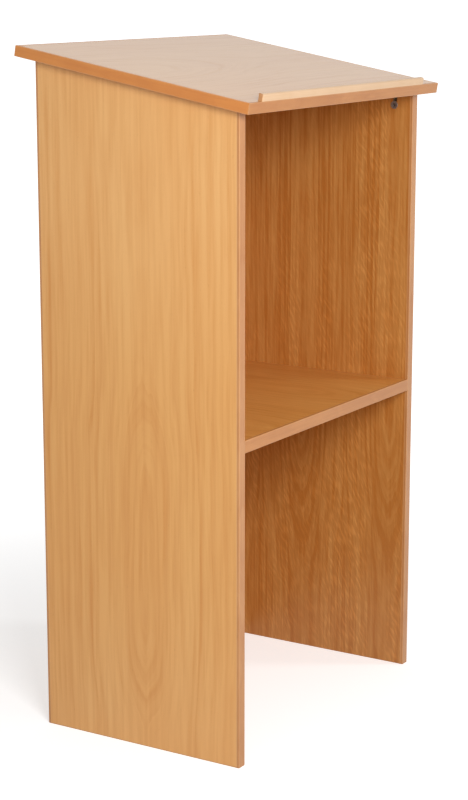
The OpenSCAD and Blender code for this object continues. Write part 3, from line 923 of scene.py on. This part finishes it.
class LecternStageSettings(bpy.types.PropertyGroup):
    eye: FloatVectorProperty(
        name="Eye", description="Place of the camera", subtype="TRANSLATION", unit="LENGTH",
        default=(-3.0757, -1.89416, 1.35362))
    heading: degrees("Heading", "Turn of the camera about the upright", -58.3028)
    pitch: degrees("Pitch", "How far the camera looks down", 12.2302)
    lens: FloatProperty(
        name="Lens", description="Focal length on a frame 36 mm high", default=89.6, min=20, max=300,
        unit="CAMERA")
    key: watts("Key light", "Power of the soft lamp at the speaker's left", 39.5)
    fill: watts("Fill light", "Power of the soft lamp behind the speaker", 24)
    sky: FloatProperty(
        name="Surroundings", description="Strength of the even light", default=0.4, min=0, max=2)


def wood():
    return bpy.context.scene.lectern_wood


def fittings():
    return bpy.context.scene.lectern_fittings


# Operators

def oak_tones(light, dark, warm, **others):
    """The tones of one kind of oak, taken from the settings where no other is given."""
    tones = Tones(
        light=light, dark=dark, warm=warm, end=wood().end_colour, pore=wood().pore_colour,
        worn=wood().worn_colour, pore_share=wood().pore_share, gloss=wood().gloss,
    )
    return replace(tones, **others)


def veneer_board(node, title, axes, outside, inside, **finish):
    """Finishes a veneered board. Its axes go across the grain, out through a face and along the grain."""
    tones = oak_tones(wood().veneer_light, wood().veneer_dark, wood().veneer_warm)
    board = Board(node, *axes)
    finish_node(node, oak_finish(title, board, tones, outside, inside, wood().veneer, **finish))


class LECTERN_OT_side_panels(bpy.types.Operator):
    """Finish the two side panels in crown-cut oak veneer"""
    bl_idname = "lectern.side_panels"
    bl_label = "Side panels"

    def execute(self, context):
        # The outer leaves carry a painted sheen towards their ends
        outer = Leaf(seed=2.0, crown=-0.013, depth=0.031, swing=0.02, length=1.25, height=-0.255, dips=0.007,
                     ring=0.0125, grain=2.2, contrast=0.8, level=0.45, painted_sheen=0.9)
        # The inner leaves carry the painted shade of the inside
        inner = Leaf(seed=9.0, crown=-0.028, width=0.195, depth=0.032, swing=-0.019, length=2.1,
                     height=-0.62, ring=0.0105, waver=0.005, dips=0.005, matched=True, fleck=0.95,
                     contrast=1.4, lines=1.7, level=0.5, tint=wood().inner_painted_shade)
        other = replace(outer, seed=4.0, crown=0.01, depth=0.033, swing=0.022, length=1.4, height=0.05,
                        level=0.4)
        for node, title, axes, outside in (
            ("left_side_panel", "Left panel veneer", (ACROSS_Y, -ACROSS_X, UP), outer),
            ("right_side_panel", "Right panel veneer", (-ACROSS_Y, ACROSS_X, UP), other),
        ):
            veneer_board(node, title, axes, outside, inner, end_skin=FOOT_SKIN)
        return {"FINISHED"}


class LECTERN_OT_front_panel(bpy.types.Operator):
    """Finish the audience's panel in crown-cut oak veneer"""
    bl_idname = "lectern.front_panel"
    bl_label = "Front panel"

    def execute(self, context):
        # The outer leaf carries a painted sheen towards its ends
        outer = Leaf(seed=13.0, width=0.3, depth=0.035, swing=0.023, length=1.3, height=-0.2, dips=0.01,
                     ring=0.0125, grain=2.0, contrast=0.85, level=0.3, painted_sheen=0.6)
        # The inner leaf carries the painted shade of the inside
        inner = Leaf(seed=21.0, crown=0.08, width=0.2, depth=0.05, swing=0.02, length=1.6, ring=0.009,
                     dips=0.01, matched=True, fleck=0.4, contrast=1.3, tint=wood().inner_painted_shade)
        axes = (ACROSS_X, ACROSS_Y, UP)
        veneer_board("front_panel", "Front panel veneer", axes, outer, inner, end_skin=FOOT_SKIN)
        return {"FINISHED"}


class LECTERN_OT_shelf(bpy.types.Operator):
    """Finish the shelf, its grain from back to front"""
    bl_idname = "lectern.shelf"
    bl_label = "Shelf"

    def execute(self, context):
        # The shelf's leaf carries its painted shade
        leaf = Leaf(seed=31.0, crown=0.1, width=0.3, depth=0.09, swing=0.02, length=0.9, ring=0.012,
                    dips=0.015, contrast=0.8, tint=wood().shelf_painted_shade)
        veneer_board("shelf", "Shelf veneer", (ACROSS_X, -UP, ACROSS_Y), leaf, leaf)
        return {"FINISHED"}


class LECTERN_OT_reading_board(bpy.types.Operator):
    """Finish the reading board, its grain from side to side"""
    bl_idname = "lectern.reading_board"
    bl_label = "Reading board"

    def execute(self, context):
        # The upper leaf carries the reading board's painted shade
        upper = Leaf(seed=41.0, crown=0.02, swing=0.04, length=1.5, height=-0.5, contrast=0.4,
                     tint=wood().top_painted_shade)
        # The underside carries the painted shade of the inside
        under = Leaf(seed=43.0, crown=-0.05, swing=0.04, length=0.9, tint=wood().inner_painted_shade)
        axes = (UP_SLOPE, TOP_NORMAL, ACROSS_X)
        veneer_board("top_board", "Reading board veneer", axes, upper, under, coat=wood().top_coat)
        return {"FINISHED"}


class LECTERN_OT_lippings(bpy.types.Operator):
    """Finish the solid oak lippings, each with its grain along its length"""
    bl_idname = "lectern.lippings"
    bl_label = "Lippings"

    def execute(self, context):
        groups = (
            ("upright", (ACROSS_X, -ACROSS_Y, UP), "left_rear", "right_rear"),
            ("upright", (ACROSS_X, ACROSS_Y, UP), "left_front", "right_front"),
            ("cross", (UP, -ACROSS_Y, ACROSS_X), "shelf"),
            ("cross", (TOP_NORMAL, -UP_SLOPE, ACROSS_X), "top_rear"),
            ("edge", (TOP_NORMAL, UP_SLOPE, ACROSS_X), "top_front"),
            ("edge", (TOP_NORMAL, ACROSS_X, UP_SLOPE), "top_left", "top_right"),
        )
        strips = [(place + "_lipping", kind, axes) for kind, axes, *places in groups for place in places]
        for count, (node, kind, axes) in enumerate(strips):
            strip = Leaf(seed=60.0 + count, depth=0.05, swing=0.004, length=2.3, ring=0.006, waver=0.003,
                         contrast=0.8)
            dark = getattr(wood(), kind + "_dark")
            tones = oak_tones(getattr(wood(), kind + "_light"), dark, dark)
            title = node.replace("_", " ").capitalize() + " oak"
            end_skin = FOOT_SKIN if kind == "upright" else END_SKIN
            finish_node(node, oak_finish(title, Board(node, *axes), tones, strip, end_skin=end_skin))
        return {"FINISHED"}


class LECTERN_OT_book_stop(bpy.types.Operator):
    """Finish the pale bead that stops the books, and its pins"""
    bl_idname = "lectern.book_stop"
    bl_label = "Book stop"

    def execute(self, context):
        board = Board("book_stop", UP_SLOPE, TOP_NORMAL, ACROSS_X)
        light = wood().bead_light
        tones = oak_tones(light, wood().bead_dark, light, worn=light, pore_share=BEAD_PORES)
        strip = Leaf(seed=80.0, swing=0.003, length=2.0, ring=0.005, waver=0.002, contrast=0.7)
        finish_node("book_stop", oak_finish("Book stop bead", board, tones, strip, arris=0.0015))
        wire = metal_finish("Bright wire", fittings().wire, WIRE_GRIME, roughness=0.3, grain=900.0)
        finish_node("stop_pins", wire)
        return {"FINISHED"}


class LECTERN_OT_cams(bpy.types.Operator):
    """Finish the cams, with a raised arrow on each face"""
    bl_idname = "lectern.cams"
    bl_label = "Cams"

    def execute(self, context):
        zinc = metal_finish("Cast zinc", fittings().zinc, ZINC_GRIME, roughness=0.42, grain=700.0)
        tree = arrow_group()
        for cam in CAMS:
            finish_node(cam, zinc)
            origin, out, ahead = cam_seat(cam)
            arrow = grown(cam + "_arrow", tree, {
                "Arrow Length": fittings().arrow_length,
                "Height": fittings().arrow_height,
                "Origin": tuple(origin),
                "Turn": tuple(seat_turn(out, ahead)),
                "Material": zinc,
            })
            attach(outward(arrow), cam)
        return {"FINISHED"}


class LECTERN_OT_bolts(bpy.types.Operator):
    """Finish the connecting bolts"""
    bl_idname = "lectern.bolts"
    bl_label = "Bolts"

    def execute(self, context):
        steel = metal_finish("Dark steel", fittings().steel, STEEL_GRIME, roughness=0.45, grain=600.0)
        tree = thread_group()
        seats = [cam_seat(cam)[0] for cam in CAMS]
        for node in ("top_bolts", "shelf_bolts", "front_bolts"):
            finish_node(node, steel)
            places = []
            for points in solids_of(node):
                middle, way, low, high = long_axis(points)
                ends = [middle + way * low, middle + way * high]
                tip = max(ends, key=lambda end: min((end - seat).length for seat in seats))
                head_way = (middle - tip).normalized()
                places.append((tip + head_way * fittings().thread_start, head_way))
                root = radius_near(points, middle, way, tip, fittings().thread_start * 2)
            thread = grown(node + "_threads", tree, {
                "Pitch": fittings().thread_pitch,
                "Root Radius": root,
                "Height": fittings().thread_height,
                "Length": fittings().thread_length,
                "Material": steel,
            }, stations(node + "_tips", places))
            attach(outward(thread), CARCASS)
        return {"FINISHED"}


class LECTERN_OT_dowels(bpy.types.Operator):
    """Finish the beech dowels, with flutes along them"""
    bl_idname = "lectern.dowels"
    bl_label = "Dowels"

    def execute(self, context):
        beech = beech_finish()
        tree = dowel_group()
        for node in ("top_dowels", "shelf_dowels", "front_dowels", "shelf_front_dowels"):
            finish_node(node, beech)
            places = []
            for points in solids_of(node):
                middle, way, low, high = long_axis(points)
                places.append((middle + way * (low + high) / 2, way))
                radius = radius_near(points, middle, way, middle, high - low)
            fluted = grown(node + "_fluted", tree, {
                "Radius": radius,
                "Length": high - low,
                "Flutes": fittings().flutes,
                "Flute Depth": fittings().flute_depth,
                "Material": beech,
            }, stations(node + "_middles", places))
            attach(outward(fluted), CARCASS)
            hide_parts(node)
        return {"FINISHED"}


def plain_ray(s):
    """One for rays that show the surroundings: straight from the camera, mirrored or let through."""
    rays = s.put("ShaderNodeLightPath").outputs
    seen = s.greater(rays["Is Camera Ray"], rays["Is Glossy Ray"])
    return s.greater(seen, rays["Is Transmission Ray"])


def pale_floor():
    """A wide pale floor that looks white and keeps a soft shadow round the feet."""
    shape = bmesh.new()
    bmesh.ops.create_grid(shape, x_segments=4, y_segments=4, size=FLOOR_REACH)
    mesh = bpy.data.meshes.new("floor")
    shape.to_mesh(mesh)
    shape.free()
    floor = linked("floor", mesh)
    material, s = new_material("Pale floor")
    away = s.put("ShaderNodeVectorMath", operation="LENGTH")
    s.feed(away.inputs[0], s.object_place())
    lift = s.span(away.outputs["Value"], *FLOOR_DISTANCES, *FLOOR_LIFTS)
    s.fill(s.tree.nodes["Principled BSDF"].inputs, {
        "Base Color": FLOOR_TONE,
        "Roughness": FLOOR_ROUGHNESS,
        "Specular IOR Level": 0.0,
        "Emission Color": WHITE,
        "Emission Strength": s.times(plain_ray(s), lift),
    })
    mesh.materials.append(material)


def even_surroundings(strength):
    """White surroundings, at full strength only where they are seen."""
    world = bpy.data.worlds.new("White surroundings")
    world.use_nodes = True
    bpy.context.scene.world = world
    s = Sketch(world.node_tree)
    values = {"Color": WHITE, "Strength": s.between(plain_ray(s), strength, 1.0)}
    s.fill(s.tree.nodes["Background"].inputs, values)


def soft_lamp(name, place, aim, size, power):
    """A large square lamp that faces a point."""
    data = bpy.data.lights.new(name, "AREA")
    data.size = size
    data.energy = power
    lamp = linked(name, data)
    lamp.location = place
    lamp.rotation_euler = (Vector(aim) - Vector(place)).to_track_quat("-Z", "Y").to_euler()


class LECTERN_OT_stage(bpy.types.Operator):
    """Set up the floor, the light and the camera"""
    bl_idname = "lectern.stage"
    bl_label = "Stage"

    def execute(self, context):
        settings = context.scene.lectern_stage
        pale_floor()
        even_surroundings(settings.sky)
        soft_lamp("key", *KEY_LAMP, settings.key)
        soft_lamp("fill", *FILL_LAMP, settings.fill)
        data = bpy.data.cameras.new("view")
        data.lens = settings.lens
        data.sensor_width = SENSOR
        data.clip_end = SIGHT
        camera = linked("view", data)
        camera.location = settings.eye
        camera.rotation_euler = (math.pi / 2 - settings.pitch, 0.0, settings.heading)
        context.scene.camera = camera
        context.scene.view_settings.view_transform = "Standard"
        return {"FINISHED"}


STEPS = (
    LECTERN_OT_side_panels, LECTERN_OT_front_panel, LECTERN_OT_shelf, LECTERN_OT_reading_board,
    LECTERN_OT_lippings, LECTERN_OT_book_stop, LECTERN_OT_cams, LECTERN_OT_bolts, LECTERN_OT_dowels,
    LECTERN_OT_stage,
)


class LECTERN_PT_panel(bpy.types.Panel):
    """Sizes and colours of the lectern, and the steps that make it"""
    bl_idname = "LECTERN_PT_panel"
    bl_label = "Lectern"
    bl_space_type = "VIEW_3D"
    bl_region_type = "UI"
    bl_category = "Lectern"

    def draw(self, context):
        for title in ("Wood", "Fittings", "Stage"):
            settings = getattr(context.scene, "lectern_" + title.lower())
            box = self.layout.box()
            box.label(text=title)
            for name in settings.__annotations__:
                box.prop(settings, name)
        for step in STEPS:
            self.layout.operator(step.bl_idname)


CLASSES = (LecternWoodSettings, LecternFittingSettings, LecternStageSettings, *STEPS, LECTERN_PT_panel)


def register():
    for cls in CLASSES:
        bpy.utils.register_class(cls)
    bpy.types.Scene.lectern_wood = PointerProperty(type=LecternWoodSettings)
    bpy.types.Scene.lectern_fittings = PointerProperty(type=LecternFittingSettings)
    bpy.types.Scene.lectern_stage = PointerProperty(type=LecternStageSettings)


def unregister():
    del bpy.types.Scene.lectern_stage
    del bpy.types.Scene.lectern_fittings
    del bpy.types.Scene.lectern_wood
    for cls in reversed(CLASSES):
        bpy.utils.unregister_class(cls)


def main():
    register()
    bpy.ops.lectern.side_panels()
    bpy.ops.lectern.front_panel()
    bpy.ops.lectern.shelf()
    bpy.ops.lectern.reading_board()
    bpy.ops.lectern.lippings()
    bpy.ops.lectern.book_stop()
    bpy.ops.lectern.cams()
    bpy.ops.lectern.bolts()
    bpy.ops.lectern.dowels()
    bpy.ops.lectern.stage()


if __name__ == "__main__":
    main()
